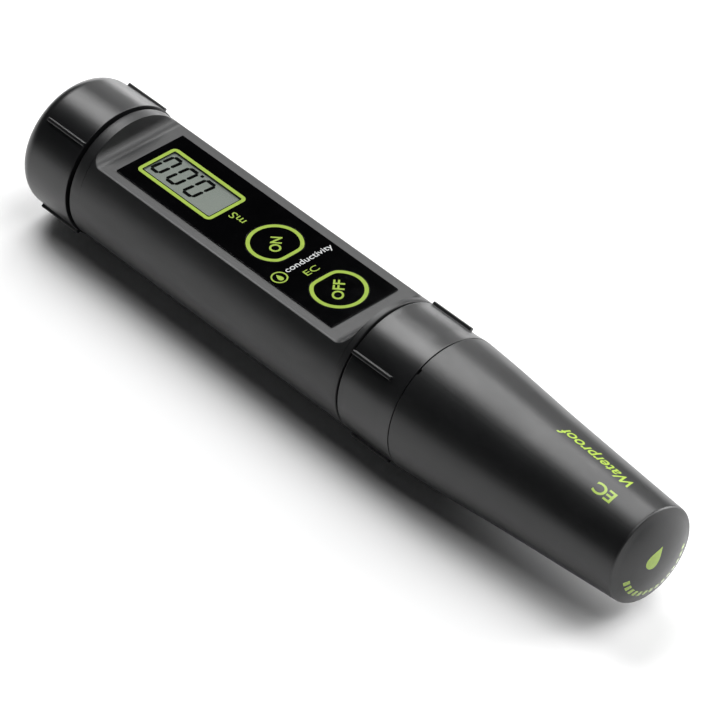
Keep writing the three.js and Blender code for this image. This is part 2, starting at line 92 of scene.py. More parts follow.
CAP_END = ends_of("battery_cap")[1]
COLLAR_START, COLLAR_END = ends_of("collar_ring")
SLEEVE_START, TIP_X = ends_of("protective_cap")
SHELL_START, SHELL_END = ends_of("housing")
WELL_START, WELL_END = ends_of("battery_well")
PROBE_START, PROBE_END = ends_of("probe_body")
FILM_LOW, FILM_HIGH = span("keypad_overlay")
PANE_LOW, PANE_HIGH = span("display_window")
LCD_LOW, LCD_HIGH = span("lcd_panel")
ON_X, OFF_X = middle_of("on_switch")[0], middle_of("off_switch")[0]

CAP_R, CAP_CLOSED_R = radius_of("battery_cap"), radius_of("battery_cap") - 0.22
CAP_FILLET, CAP_WALL = 4.4, 2.4
COLLAR_R, COLLAR_FLARE_R = radius_of("collar_ring") - 0.2, radius_of("collar_ring")
COLLAR_FLARE_X, COLLAR_LIP_X, COLLAR_LIP_R = 127, 126.3, 13.6
BODY_R, BODY_BORE, NECK_R, NUT_BORE = radius_of("housing"), 14.4, 14.1, 15.3
BODY_START, BODY_END = CAP_END + 0.9, COLLAR_START - 0.7
BORE_START, BORE_END = 20, 111
PANEL_Z, CEILING_Z = FILM_LOW.z - 0.05, 9.77
RIM_START, RIM_START_CURVE = 22.45, 2.8
RIM_END, RIM_END_CURVE = 111.35, 4.0
CAP_THREAD, COLLAR_THREAD = 9.2, 115.5  # where the thread of each neck starts
THREAD_LEAD, THREAD_STARTS, NUT_THREAD_DELAY = 6.0, 2, 1.5
CAP_RIBS = (40, 130, 220, 310)
COLLAR_RIBS = (46.5, 136.5, 226.5, 316.5)
CAP_RIB_TIP, COLLAR_RIB_TIP, RIB_WIDTH = 18.25, 18.1, 0.9
KEY_R, KEY_FLAT = 7.0, 6.15
PRINT = 0.03
PRINT_Z = FILM_HIGH.z - PRINT


# ---------------- mesh helpers
def put(points):
    """Pen millimetres to row-frame metres."""
    points = np.asarray(points, float) * MM
    return points + np.array((START, 0, AXIS_Z))


def new_object(name, mesh):
    thing = bpy.data.objects.new(name, mesh)
    bpy.context.scene.collection.objects.link(thing)
    return thing


def finish_mesh(mesh):
    """Faces out, smooth shading, and sharp edges where the surface turns quickly."""
    work = bmesh.new()
    work.from_mesh(mesh)
    bmesh.ops.remove_doubles(work, verts=work.verts, dist=1e-8)
    bmesh.ops.recalc_face_normals(work, faces=work.faces)
    if work.calc_volume(signed=True) < 0:
        bmesh.ops.reverse_faces(work, faces=work.faces)
    work.to_mesh(mesh)
    work.free()
    mesh.polygons.foreach_set("use_smooth", [True] * len(mesh.polygons))
    mesh.set_sharp_from_angle(angle=math.radians(32))


def loft(name, rings, wrap=False):
    """A skin through rings of (x, y, z); a ring of one point closes an end, and wrap joins last to first."""
    points, faces, starts = [], [], []
    for ring in rings:
        starts.append((len(points), len(ring)))
        points.extend(ring)
    pairs = list(zip(starts, starts[1:])) + ([(starts[-1], starts[0])] if wrap else [])
    for (a, count_a), (b, count_b) in pairs:
        count = max(count_a, count_b)
        for i in range(count):
            j = (i + 1) % count
            if count_a == 1:
                faces.append((a, b + i, b + j))
            elif count_b == 1:
                faces.append((a + j, a + i, b))
            else:
                faces.append((a + j, a + i, b + i, b + j))
    mesh = bpy.data.meshes.new(name)
    mesh.from_pydata(put(points).tolist(), [], faces)
    finish_mesh(mesh)
    return new_object(name, mesh)


def around(x, radius, degrees):
    """One ring; x and radius may be single values or one value for each angle."""
    angle = np.radians(degrees)
    radius = np.broadcast_to(radius, angle.shape)
    x = np.broadcast_to(x, angle.shape)
    return np.column_stack((x, radius * np.cos(angle), radius * np.sin(angle)))


def whole_turn(sides):
    """Evenly spaced angles all the way round."""
    return np.arange(sides) * 360 / sides


def turn_between(degrees, angle):
    """How far apart two angles are, the shorter way round."""
    return np.abs((degrees - angle + 180) % 360 - 180)


def rounded(corners, steps=6):
    """An open profile of (x, radius, fillet) corners, with an arc of that fillet at each inner corner."""
    points = [corners[0][:2]]
    for before, here, after in zip(corners, corners[1:], corners[2:]):
        fillet = here[2] if len(here) > 2 else 0
        p, a, b = (np.array(c[:2], float) for c in (here, before, after))
        if fillet == 0:
            points.append(tuple(p))
            continue
        to_a, to_b = (a - p) / np.linalg.norm(a - p), (b - p) / np.linalg.norm(b - p)
        half = math.acos(max(-1, min(1, to_a @ to_b))) / 2
        centre = p + (to_a + to_b) / np.linalg.norm(to_a + to_b) * fillet / math.sin(half)
        first = p + to_a * fillet / math.tan(half) - centre
        last = p + to_b * fillet / math.tan(half) - centre
        sweep = math.acos(max(-1, min(1, first @ last / fillet**2)))
        for i in range(steps + 1):
            t = i / steps
            blend = (first * math.sin((1 - t) * sweep) + last * math.sin(t * sweep)) / math.sin(sweep)
            points.append(tuple(centre + blend))
    points.append(corners[-1][:2])
    return points


def dense(profile, step):
    """The profile with its long stretches cut into pieces of about step."""
    out = [profile[0]]
    for (x0, r0), (x1, r1) in zip(profile, profile[1:]):
        count = max(1, math.ceil(math.hypot(x1 - x0, r1 - r0) / step))
        out += [(x0 + (x1 - x0) * i / count, r0 + (r1 - r0) * i / count) for i in range(1, count + 1)]
    return out


def turned(name, corners, sides=128, step=None):
    """A body of revolution from (x, radius, fillet) corners that start and end on the axis."""
    profile = rounded(corners)
    if step:
        profile = dense(profile, step)
    degrees = whole_turn(sides)
    return loft(name, [[(x, 0, 0)] if r < 1e-6 else around(x, r, degrees) for x, r in profile])


def turned_ring(name, corners, sides=96):
    """A body of revolution with a hole: the profile closes on itself, and its last corner isn't repeated."""
    start = [((corners[0][0] + corners[-1][0]) / 2, (corners[0][1] + corners[-1][1]) / 2)]
    profile = rounded(start + corners + start)[:-1]
    return loft(name, [around(x, r, whole_turn(sides)) for x, r in profile], wrap=True)


def seal_ring(name, node):
    low, high = span(node)
    section = (high.x - low.x) / 2
    middle, radius = middle_of(node)[0], high.y - section
    turns, degrees = np.radians(whole_turn(20)), whole_turn(96)
    rings = [around(middle + section * math.cos(t), radius + section * math.sin(t), degrees) for t in turns]
    return loft(name, rings, wrap=True)


def off_axis(thing, y, z):
    """Moves a turned piece's mesh to another axis, and leaves its object at the origin."""
    thing.data.transform(Matrix.Translation(Vector((0, y, z)) * MM))
    return thing


def upright(thing, x, y):
    """Turns a turned piece's mesh so that its profile's x runs up, over a point of the keypad."""
    turn = Matrix.Rotation(-math.pi / 2, 4, "Y") @ Matrix.Translation(Vector((-START, 0, -AXIS_Z)))
    thing.data.transform(Matrix.Translation(Vector(put([(x, y, 0)])[0])) @ turn)
    return thing


def smooth_min(a, b, width):
    overlap = np.maximum(width - np.abs(a - b), 0) / width
    return np.minimum(a, b) - overlap * overlap * width / 4


def smooth_step(value, low, high):
    t = np.clip((value - low) / (high - low), 0, 1)
    return t * t * (3 - 2 * t)


def evaluated_mesh(thing):
    bpy.context.view_layer.update()
    evaluated = thing.evaluated_get(bpy.context.evaluated_depsgraph_get())
    return bpy.data.meshes.new_from_object(evaluated)


def cut_away(thing, tool):
    modifier = thing.modifiers.new("cut", "BOOLEAN")
    modifier.operation = "DIFFERENCE"
    modifier.solver = "EXACT"
    modifier.object = tool
    mesh = evaluated_mesh(thing)
    thing.modifiers.clear()
    thing.data = mesh
    bpy.data.objects.remove(tool)
    finish_mesh(mesh)


def soften_edges(thing, width):
    modifier = thing.modifiers.new("edge", "BEVEL")
    modifier.width = width * MM
    modifier.segments = 3
    modifier.limit_method = "ANGLE"
    modifier.angle_limit = math.radians(40)
    modifier.harden_normals = True


# ---------------- flat outlines
def rounded_rectangle(x0, x1, y0, y1, radius):
    points = []
    for cx, cy, start in ((x1, y1, 0), (x0, y1, 90), (x0, y0, 180), (x1, y0, 270)):
        mx = cx - math.copysign(radius, cx - (x0 + x1) / 2)
        my = cy - math.copysign(radius, cy - (y0 + y1) / 2)
        for angle in np.radians(start + np.linspace(0, 90, 7)):
            points.append((mx + radius * math.cos(angle), my + radius * math.sin(angle)))
    return points


def box_outline(low, high, grow, radius):
    """A rounded rectangle round a node's box, seen from above."""
    return rounded_rectangle(low.x - grow, high.x + grow, low.y - grow, high.y + grow, radius)


def key_outline(centre, facing, grow=0.0, corner=0.9):
    """A circle with one flat, its two corners rounded; facing is the side of the flat, 1 or -1 along x."""
    radius, flat = KEY_R + grow, KEY_FLAT + grow
    points = []
    for angle in np.radians(whole_turn(72)):
        cosine = math.cos(angle)
        reach = smooth_min(radius, flat / max(cosine, 1e-3), corner) if cosine > 0 else radius
        points.append((centre + facing * reach * cosine, reach * math.sin(angle)))
    return points if facing > 0 else points[::-1]


def sheet_of(name, outlines, z0, z1, edge=0.0):
    """A flat plate between two heights; the first outline is its edge and the others are holes."""
    curve = bpy.data.curves.new(name, "CURVE")
    curve.dimensions = "2D"
    curve.fill_mode = "BOTH"
    curve.extrude = ((z1 - z0) / 2 - edge) * MM
    curve.bevel_depth = edge * MM
    curve.bevel_resolution = 2
    curve.offset = -edge * MM
    for outline in outlines:
        spline = curve.splines.new("POLY")
        spline.points.add(len(outline) - 1)
        spline.use_cyclic_u = True
        for point, (x, y) in zip(spline.points, outline):
            point.co = (x * MM + START, y * MM, 0, 1)
    holder = new_object(name + "_curve", curve)
    mesh = mesh_from(holder)
    mesh.transform(Matrix.Translation((0, 0, (z0 + z1) / 2 * MM + AXIS_Z)))
    finish_mesh(mesh)
    for face in mesh.polygons:
        face.use_smooth = abs(face.normal.z) < 0.99
    return new_object(name, mesh)


def mesh_from(holder):
    """A curve object's mesh, in place of the object."""
    mesh = evaluated_mesh(holder)
    data = holder.data
    bpy.data.objects.remove(holder)
    bpy.data.curves.remove(data)
    return mesh


def word_mesh(word, height, width, weight=0.0, slant=0.0):
    """A flat word, this tall and wide in mm, centred on the origin."""
    curve = bpy.data.curves.new(word, "FONT")
    curve.body = word
    curve.size = 1
    curve.offset = weight
    curve.shear = slant
    curve.resolution_u = 6
    mesh = mesh_from(new_object(word + "_text", curve))
    points = np.array([v.co for v in mesh.vertices])
    low, high = points.min(0), points.max(0)
    middle, extent = (low + high) / 2, high - low
    mesh.transform(Matrix.Translation((-middle[0], -middle[1], 0)))
    mesh.transform(Matrix.Diagonal((width / extent[0], height / extent[1], 1, 1)))
    return mesh


def thicken(mesh, direction_of, depth):
    """Turns a flat, placed patch into a thin solid; direction_of gives the outward direction at a point."""
    work = bmesh.new()
    work.from_mesh(mesh)
    lifted = bmesh.ops.extrude_face_region(work, geom=work.faces[:])
    for vert in (g for g in lifted["geom"] if isinstance(g, bmesh.types.BMVert)):
        vert.co += direction_of(vert.co) * depth * MM
    work.to_mesh(mesh)
    work.free()
    finish_mesh(mesh)


# ---------------- materials
def srgb(red, green, blue):
    """Linear colour from the 0-255 numbers of a colour picker."""
    values = [v / 255 for v in (red, green, blue)]
    linear = [v / 12.92 if v <= 0.04045 else ((v + 0.055) / 1.055) ** 2.4 for v in values]
    return (*linear, 1)


FINISHES = {}


class Finish:
    """A Principled material with short ways to add procedural detail in object space."""

    def __init__(self, name, color, roughness, metallic=0.0, coat=0.0, ior=1.55):
        self.material = bpy.data.materials.new(name)
        self.material.use_nodes = True
        self.material.diffuse_color = color
        self.tree = self.material.node_tree
        self.shader = self.tree.nodes["Principled BSDF"]
        self.set({"Base Color": color, "Roughness": roughness, "Metallic": metallic, "IOR": ior})
        self.set({"Coat Weight": coat, "Coat Roughness": 0.08})
        self.place = self.node("ShaderNodeTexCoord", {}).outputs["Object"]
        self.height = None
        FINISHES[name] = self.material

    def set(self, inputs, node=None):
        """Links each input that is given as another node's output, and sets the others as constants."""
        for socket, value in inputs.items():
            target = (node or self.shader).inputs[socket]
            if isinstance(value, bpy.types.NodeSocket):
                self.tree.links.new(value, target)
            else:
                target.default_value = value

    def node(self, kind, inputs, **settings):
        made = self.tree.nodes.new(kind)
        for name, value in settings.items():
            setattr(made, name, value)
        self.set(inputs, made)
        return made

    def stretched(self, *scale):
        inputs = {"Scale": scale, "Vector": self.place}
        return self.node("ShaderNodeMapping", inputs).outputs["Vector"]

    def noise(self, size, detail=3.0, roughness=0.55, place=None):
        """Noise whose features are about size millimetres across."""
        inputs = {"Scale": 1 / (size * MM), "Detail": detail, "Roughness": roughness}
        inputs["Vector"] = place or self.place
        return self.node("ShaderNodeTexNoise", inputs).outputs["Fac"]

    def range(self, value, low, high, from_low=0.3, from_high=0.7):
        inputs = {"From Min": from_low, "From Max": from_high, "To Min": low, "To Max": high, "Value": value}
        return self.node("ShaderNodeMapRange", inputs).outputs["Result"]

    def vary_color(self, value, dark, light):
        made = self.node("ShaderNodeValToRGB", {"Fac": value})
        for element, position, color in zip(made.color_ramp.elements, (0.3, 0.7), (dark, light)):
            element.position = position
            element.color = color
        self.set({"Base Color": made.outputs["Color"]})

    def vary_roughness(self, value, low, high):
        self.set({"Roughness": self.range(value, low, high)})

    def bump(self, value, depth, strength=1.0):
        """Adds relief of about depth millimetres."""
        inputs = {"Strength": strength, "Distance": depth * MM, "Height": value}
        if self.height is not None:
            inputs["Normal"] = self.height
        self.height = self.node("ShaderNodeBump", inputs).outputs["Normal"]
        self.set({"Normal": self.height})


def scaled(color, factor):
    return (*[min(1, channel * factor) for channel in color[:3]], 1)


def moulded_plastic(name, color, roughness, grain, depth, spread=0.06):
    """Moulded plastic: fine spark-eroded grain, slow changes of gloss, and a few fine rubs."""
    finish = Finish(name, color, roughness)
    cloud = finish.noise(9, 4)
    finish.vary_color(cloud, scaled(color, 0.85), scaled(color, 1.2))
    worn = finish.noise(3.5, 5, 0.7, finish.stretched(0.35, 1, 1))
    finish.vary_roughness(worn, roughness - spread, roughness + spread)
    finish.bump(finish.noise(grain, 2, 0.5), depth)
    finish.bump(finish.noise(grain * 6, 3, 0.5), depth * 1.2, 0.6)


def gloss_film(name, color, roughness):
    """Polyester film: smooth and hard, with a very slow ripple and faint smears."""
    finish = Finish(name, color, roughness, ior=1.42)
    finish.vary_color(finish.noise(14, 3), scaled(color, 0.8), scaled(color, 1.3))
    finish.vary_roughness(finish.noise(5, 5, 0.65), roughness * 0.7, roughness * 1.6)
    finish.bump(finish.noise(7, 2), 0.004, 0.5)


def ink(name, color, roughness):
    """Screen-printed ink: slightly uneven in tone, with a fine mesh tooth."""
    finish = Finish(name, color, roughness)
    finish.vary_color(finish.noise(1.4, 4), scaled(color, 0.92), scaled(color, 1.06))
    finish.bump(finish.noise(0.22, 2), 0.006, 0.6)


def rubber(name, color, stripe=None):
    finish = Finish(name, color, 0.75)
    finish.vary_color(finish.noise(1.2, 4), scaled(color, 0.7), scaled(color, 1.4))
    finish.bump(finish.noise(0.3, 4), 0.02, 0.7)
    if stripe:
        inputs = {"Scale": stripe / MM, "Vector": finish.place}
        wave = finish.node("ShaderNodeTexWave", inputs, bands_direction="X")
        finish.vary_color(wave.outputs["Fac"], scaled(color, 0.4), scaled(color, 3.2))


def metal(name, color, roughness, brush=(1, 1, 1), depth=0.004):
    """Metal with fine tool marks along the given stretch and small changes of tarnish."""
    finish = Finish(name, color, roughness, metallic=1.0)
    marks = finish.noise(0.35, 5, 0.7, finish.stretched(*brush))
    finish.vary_color(finish.noise(2.5, 4), scaled(color, 0.8), scaled(color, 1.1))
    finish.vary_roughness(marks, roughness * 0.75, roughness * 1.4)
    finish.bump(marks, depth, 0.6)


def board_material():
    """Green solder mask over copper tracks: tracks run along the board and step across it."""
    green, track, pad = srgb(12, 74, 40), srgb(28, 104, 58), srgb(196, 160, 84)
    finish = Finish("board_green", green, 0.32, coat=0.4)
    inputs = {"Color1": green, "Color2": scaled(green, 1.25), "Mortar": track, "Vector": finish.place}
    inputs |= {"Scale": 1 / (8 * MM), "Mortar Size": 0.035, "Brick Width": 1.4, "Row Height": 0.18}
    brick = finish.node("ShaderNodeTexBrick", inputs)
    inputs = {"Scale": 1 / (4.2 * MM), "Vector": finish.place}
    dots = finish.node("ShaderNodeTexVoronoi", inputs, feature="F1")
    near = finish.range(dots.outputs["Distance"], 1, 0, 0.10, 0.13)
    gold = finish.node("ShaderNodeRGB", {})
    gold.outputs[0].default_value = pad
    inputs = {"Factor": near, 6: brick.outputs["Color"], 7: gold.outputs[0]}
    mix = finish.node("ShaderNodeMix", inputs, data_type="RGBA")
    finish.set({"Base Color": mix.outputs[2]})
    finish.bump(brick.outputs["Fac"], 0.03, 0.5)


def lcd_material():
    """The reflective backing of the display: grey-green, very slightly mottled, under smooth glass."""
    color = srgb(102, 111, 102)
    finish = Finish("lcd_backing", color, 0.45, coat=0.2)
    fine = finish.noise(0.25, 3)
    finish.vary_color(fine, scaled(color, 0.9), scaled(color, 1.06))
    finish.bump(fine, 0.002, 0.3)


def clear_material():
    finish = Finish("window_clear", (0.01, 0.012, 0.01, 1), 0.05)
    finish.set({"Alpha": 0.08})
    finish.vary_roughness(finish.noise(4, 4), 0.03, 0.09)


BLACK = srgb(15, 15.5, 16.5)
moulded_plastic("housing_plastic", BLACK, 0.43, 0.3, 0.012, 0.04)
moulded_plastic("cap_plastic", BLACK, 0.32, 0.22, 0.004, 0.03)
moulded_plastic("sleeve_plastic", BLACK, 0.37, 0.25, 0.005, 0.03)
moulded_plastic("inner_plastic", srgb(52, 53, 56), 0.5, 0.3, 0.006)
moulded_plastic("chip_plastic", srgb(28, 28, 30), 0.55, 0.12, 0.006)
moulded_plastic("probe_plastic", srgb(58, 59, 62), 0.46, 0.25, 0.006)
moulded_plastic("trimmer_blue", srgb(24, 84, 176), 0.4, 0.15, 0.004)
moulded_plastic("graphite", srgb(60, 60, 62), 0.6, 0.12, 0.02)
gloss_film("overlay_film", srgb(1, 1, 1.5), 0.05)
gloss_film("lcd_segment", srgb(3, 4, 4), 0.06)
gloss_film("capacitor_jacket", srgb(38, 50, 92), 0.3)
ink("print_lime", srgb(139, 162, 70), 0.07)
ink("print_white", srgb(190, 192, 192), 0.07)
ink("sleeve_ink", srgb(152, 180, 52), 0.36)
rubber("elastomer", srgb(70, 72, 78), stripe=0.6)
rubber("seal_rubber", srgb(24, 24, 24))
metal("tin_plate", srgb(200, 200, 196), 0.32)
metal("screw_steel", srgb(182, 184, 186), 0.3)
metal("spring_steel", srgb(190, 192, 196), 0.25)
metal("cell_steel", srgb(214, 214, 214), 0.18, (1, 6, 6))
metal("contact_brass", srgb(222, 180, 96), 0.25)
metal("stainless", srgb(198, 199, 202), 0.2, (6, 1, 1))
clear_material()
lcd_material()
board_material()


def dress(thing, slot, body, *nodes, finish=None):
    """Gives a piece a material, the finish if one is given and else the one named by slot, puts it on the
    body it rides on, and hides the CAD nodes it stands for.
    """
    thing.data.materials.clear()
    thing.data.materials.append(FINISHES[finish or slot])
    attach(thing, body)
    if nodes:
        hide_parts(*nodes)


# ---------------- threads and ribs as relief
THREAD_FADE = 0.1
FLANK_TOP, FLANK_FOOT = 0.2, 0.76


def thread_relief(x, degrees, start, turns, height):
    """Height of the helical ridges at each angle of a ring at x."""
    once = np.asarray(degrees) % 360 / 360
    relief = np.zeros_like(once)
    for k in range(THREAD_STARTS):
        for m in (-1, 0, 1, 2):
            turn = once - k / THREAD_STARTS + m
            inside = np.clip(np.minimum(turn, turns - turn) / THREAD_FADE + THREAD_FADE, 0, 1)
            offset = np.abs(x - start - THREAD_LEAD * turn)
            ridge = height * inside * (1 - smooth_step(offset, FLANK_TOP, FLANK_FOOT))
            relief = np.maximum(relief, ridge)
    return relief


def rib_columns(angles, radius):
    """Ring angles with extra columns at the sides of each rib, so that its edges stay crisp."""
    steps = (0, 0.1, 0.2, 0.27, 0.33, 0.38, 0.42, 0.445, 0.45, 0.46, 0.48, 0.52, 0.57, 0.63, 0.8, 1.1)
    close = np.degrees(np.array(steps) / radius)
    extra = [a + side * c for a in angles for side in (-1, 1) for c in close]
    plain = [d for d in np.arange(0, 360, 2.0) if all(turn_between(d, a) > close[-1] + 1 for a in angles)]
    return np.array(sorted(set(np.round([d % 360 for d in extra + plain], 5))))


def edge_height(inside, top, round_off):
    """Height of a square-sided block that is this far inside its side, with its top edge rounded."""
    lost = round_off - np.sqrt(np.maximum(round_off**2 - np.clip(round_off - inside, 0, round_off) ** 2, 0))
    return np.where(inside >= 0, top - lost, 0.0)


def rib_relief(x, degrees, angles, start, end, radius, tip):
    """Height of the anti-roll ribs: square-sided, with rounded top edges and a small fillet at the foot."""
    top, round_off, foot = tip - radius, 0.25, 0.12
    ends = edge_height(np.array(min(x - start, end - x)), top, 0.2)
    relief = np.zeros_like(degrees)
    for angle in angles:
        across = np.radians(turn_between(degrees, angle)) * radius
        side = edge_height(RIB_WIDTH / 2 + 1e-6 - across, top, round_off)
        beyond = np.clip(across - RIB_WIDTH / 2, 0, foot)
        fillet = foot - np.sqrt(np.maximum(foot**2 - (foot - beyond) ** 2, 0))
        along = 1.0 if start < x < end else 0.0
        relief = np.maximum(relief, np.maximum(np.minimum(side, ends), fillet * along))
    return relief


# ---------------- housing shell
RIM_SOFT = 0.35
ABOVE_SHELL = 99.0


def recess_floor(x):
    """Height of the keypad recess at x: flat between the rims, and curving up to the shell at both ends."""
    for rim, curve, into in ((RIM_START, RIM_START_CURVE, 1), (RIM_END, RIM_END_CURVE, -1)):
        t = 1 - (x - rim) * into / curve
        if t >= 1:
            return ABOVE_SHELL
        if t > 0:
            return PANEL_Z + curve - math.sqrt(curve**2 - (curve * t) ** 2)
    return PANEL_Z


def shell_radius(x, degrees, radius):
    """The barrel with the keypad recess cut across its top."""
    up = np.sin(np.radians(degrees))
    cut = np.where(up > 0.05, recess_floor(x) / np.maximum(up, 0.05), 1e3)
    return smooth_min(np.full_like(cut, radius), cut, RIM_SOFT)


def shell_columns(x):
    """Angles of a ring, gathered round the rim of the recess where it crosses this x."""
    rim = math.degrees(math.asin(min(recess_floor(x) / BODY_R, math.sin(math.radians(84)))))
    lower = np.concatenate((np.linspace(0, rim - 3, 26)[:-1], rim + np.linspace(-3, 3, 25)))
    quarter = np.concatenate((lower, np.linspace(rim + 3, 90, 22)[1:]))
    return np.concatenate((quarter, (180 - quarter)[::-1][1:], np.linspace(180, 360, 97)[1:-1]))


def shell_stations():
    """Where the rings of the barrel go: close together on its edges and on the ramps of the recess."""
    edge = ((0, -0.4), (0.06, -0.22), (0.18, -0.07), (0.4, 0.0))
    plain = list(np.arange(BODY_START + 1.2, RIM_START - 0.3, 0.8))
    plain += list(np.linspace(RIM_START + 3.5, RIM_END - 4.7, 90))
    ramps = list(np.arange(RIM_START - 0.3, RIM_START + 3.4, 0.1))
    ramps += list(np.arange(RIM_END - 4.6, RIM_END + 0.3, 0.1))
    middle = [(x, 0.0) for x in sorted(ramps + plain) if x < BODY_END - 0.5]
    close = [(BODY_END - inward, drop) for inward, drop in edge[::-1]]
    return [(BODY_START + inward, drop) for inward, drop in edge] + middle + close


def neck_rings(profile, start):
    """Rings of a threaded neck from (x, radius) points, with ridges raised on its plain part."""
    degrees = shell_columns(50)
    rings = []
    for x, radius in profile:
        relief = thread_relief(x, degrees, start, 1, 0.85) if radius > NECK_R - 0.05 else 0
        rings.append(around(x, radius + relief, degrees))
    return rings


def housing_shell():
    seal_low, seal_high = span("neck_seal")
    groove_start, groove_end, groove_r = seal_low.x - 0.1, seal_high.x + 0.1, 13.2
    low, high = SHELL_START, SHELL_END
    front = [(low, NECK_R - 0.4), (low + 0.12, NECK_R - 0.12), (low + 0.4, NECK_R)]
    front += [(x, NECK_R) for x in np.arange(low + 0.6, groove_start - 0.1, 0.11)]
    front += [(groove_start, NECK_R), (groove_start, groove_r), (groove_end, groove_r), (groove_end, NECK_R)]
    front += [(BODY_START - 0.4, NECK_R), (BODY_START - 0.08, NECK_R + 0.06), (BODY_START, NECK_R + 0.4)]
    rings = neck_rings(front, CAP_THREAD)
    for x, drop in shell_stations():
        degrees = shell_columns(x)
        rings.append(around(x, shell_radius(x, degrees, BODY_R + drop), degrees))
    back = [(BODY_END, NECK_R + 0.4), (BODY_END + 0.08, NECK_R + 0.06), (BODY_END + 0.4, NECK_R)]
    back += [(x, NECK_R) for x in np.arange(BODY_END + 0.6, high - 0.5, 0.11)]
    back += [(high - 0.4, NECK_R), (high - 0.12, NECK_R - 0.12), (high, NECK_R - 0.4)]
    rings += neck_rings(back, COLLAR_THREAD)
    inside = [(high, 12.4), (high - 0.2, 12.2), (BORE_END + 0.2, 12.2), (BORE_END, 14.3)]
    inside += [(BORE_END - 0.2, BODY_BORE)]
    inside += [(x, BODY_BORE) for x in np.linspace(BORE_END - 1, BORE_START + 0.2, 36)]
    inside += [(BORE_START, BODY_BORE), (BORE_START - 0.1, 12.3), (low + 0.2, 12.3), (low, 12.5)]
    degrees = shell_columns(50)
    up = np.maximum(np.sin(np.radians(degrees)), 0.05)
    for x, radius in inside:
        room = np.minimum(radius, CEILING_Z / up) if BORE_START - 0.05 < x < BORE_END else radius
        rings.append(around(x, room, degrees))
    return loft("housing_shell", rings, wrap=True)


def screw_boss(number):
    """A screw boss that hangs from the ceiling: a plain tube with a rounded mouth."""
    foot = CEILING_Z + 0.3
    corners = [(3.35, 1.15, 0.05), (3.35, 2.3, 0.15), (foot, 2.3, 0.02), (foot, 1.15, 0.02)]
    x, y, _ = middle_of(f"board_screw_{number}")
    return upright(turned_ring(f"screw_boss_{number}", corners, 48), x, y)


shell = housing_shell()
GAP = 0.1
key_openings = key_outline(ON_X, 1, GAP, 0.3), key_outline(OFF_X, -1, GAP, 0.3)
for outline in (box_outline(LCD_LOW, LCD_HIGH, GAP, 0.3), *key_openings):
    cut_away(shell, sheet_of("cut", [outline], CEILING_Z - 0.8, 13.0))
dress(shell, "housing_plastic", "housing", "housing")
for number in range(1, 5):
    dress(screw_boss(number), "housing_plastic", "housing")

# ---------------- keypad film, keys and prints
KEY_SLIT, FILM_EDGE = 0.06, 0.03
LINE = 0.98
DIAGONAL = 134


def printed(name, outlines, body="housing"):
    """Lime print on the keypad; the first outline is its edge and the others are holes."""
    dress(sheet_of(name, outlines, PRINT_Z, PRINT_Z + PRINT), "print_lime", body)


def printed_word(name, word, centre, reading, height, width, weight=0.0, slot="print_lime", body="housing"):
    """A printed word on the keypad; reading is its direction in degrees from +x."""
    mesh = word_mesh(word, height, width, weight)
    mesh.transform(Matrix.Rotation(math.radians(reading), 4, "Z"))
    mesh.transform(Matrix.Diagonal((MM, MM, MM, 1)))
    mesh.transform(Matrix.Translation(Vector(put([(*centre, PRINT_Z)])[0])))
    thicken(mesh, lambda point: Vector((0, 0, 1)), PRINT)
    dress(new_object(name, mesh), slot, body)


def add_key(body, centre, facing, word, width, shift):
    """A key: film on a pad, a stem down to its switch, and its printed outline and word."""
    low, high = span(body)
    film_bottom, pad_bottom = high.z - 0.28, high.z - 1.5
    outline = key_outline(centre, facing)
    dress(sheet_of(f"{body}_film", [outline], film_bottom, PRINT_Z, FILM_EDGE), "overlay_film", body)
    dress(sheet_of(f"{body}_pad", [outline], pad_bottom, film_bottom, 0.15), "inner_plastic", body)
    corners = [(low.z, 0), (low.z, 2.0, 0.25), (pad_bottom + 0.1, 2.0), (pad_bottom + 0.1, 0)]
    dress(upright(turned(f"{body}_stem", corners, 64), centre, 0), "inner_plastic", body, body)
    outer, inner = key_outline(centre, facing, -0.18), key_outline(centre, facing, -0.18 - LINE, 0.6)
    printed(f"{body}_outline", [outer, inner], body)
    printed_word(f"{body}_word", word, (centre + shift, -0.2), DIAGONAL, 2.85, width, 0.02, body=body)


def droplet(centre, size, facing):
    """Outline of a plain water drop; facing is the direction of its tip in degrees from +x."""
    points = []
    cosine, sine = math.cos(math.radians(facing)), math.sin(math.radians(facing))
    for t in np.radians(whole_turn(40)):
        x, y = math.cos(t) * size, math.sin(t) * math.sin(t / 2) ** 1.4 * size * 0.78
        points.append((centre[0] + x * cosine - y * sine, centre[1] + x * sine + y * cosine))
    return points


def circle(centre, radius):
    turns = np.radians(whole_turn(64))
    return [(centre[0] + radius * math.cos(t), centre[1] + radius * math.sin(t)) for t in turns]


film_outlines = [box_outline(FILM_LOW, FILM_HIGH, 0, 0.3), box_outline(PANE_LOW, PANE_HIGH, 0.15, 0.5)]
film_outlines += [key_outline(ON_X, 1, KEY_SLIT), key_outline(OFF_X, -1, KEY_SLIT)]
film = sheet_of("keypad_film", film_outlines, FILM_LOW.z, PRINT_Z, FILM_EDGE)
dress(film, "overlay_film", "housing", "keypad_overlay")
x0, x1, y0, y1 = 30.85, 56.75, -6.4, 5.95
inner = rounded_rectangle(x0 + LINE, x1 - LINE, y0 + LINE, y1 - LINE, 0.45)
printed("display_outline", [rounded_rectangle(x0, x1, y0, y1, 1.4), inner])
add_key("on_key", ON_X, 1, "ON", 5.5, 0.45)
add_key("off_key", OFF_X, -1, "OFF", 7.0, 0)
printed_word("unit_word", "mS", (60.35, -0.6), 180, 2.25, 4.35)
printed_word("quantity_word", "conductivity", (82.3, 2.15), 90, 2.35, 14.2, 0.004, "print_white")
printed_word("kind_word", "EC", (85.75, -0.25), 90, 1.9, 4.0)
MARK = (82.9, -7.55)
printed("mark_ring", [circle(MARK, 2.05), circle(MARK, 1.68)])
printed("water_drop_mark", [droplet(MARK, 1.2, 180)])

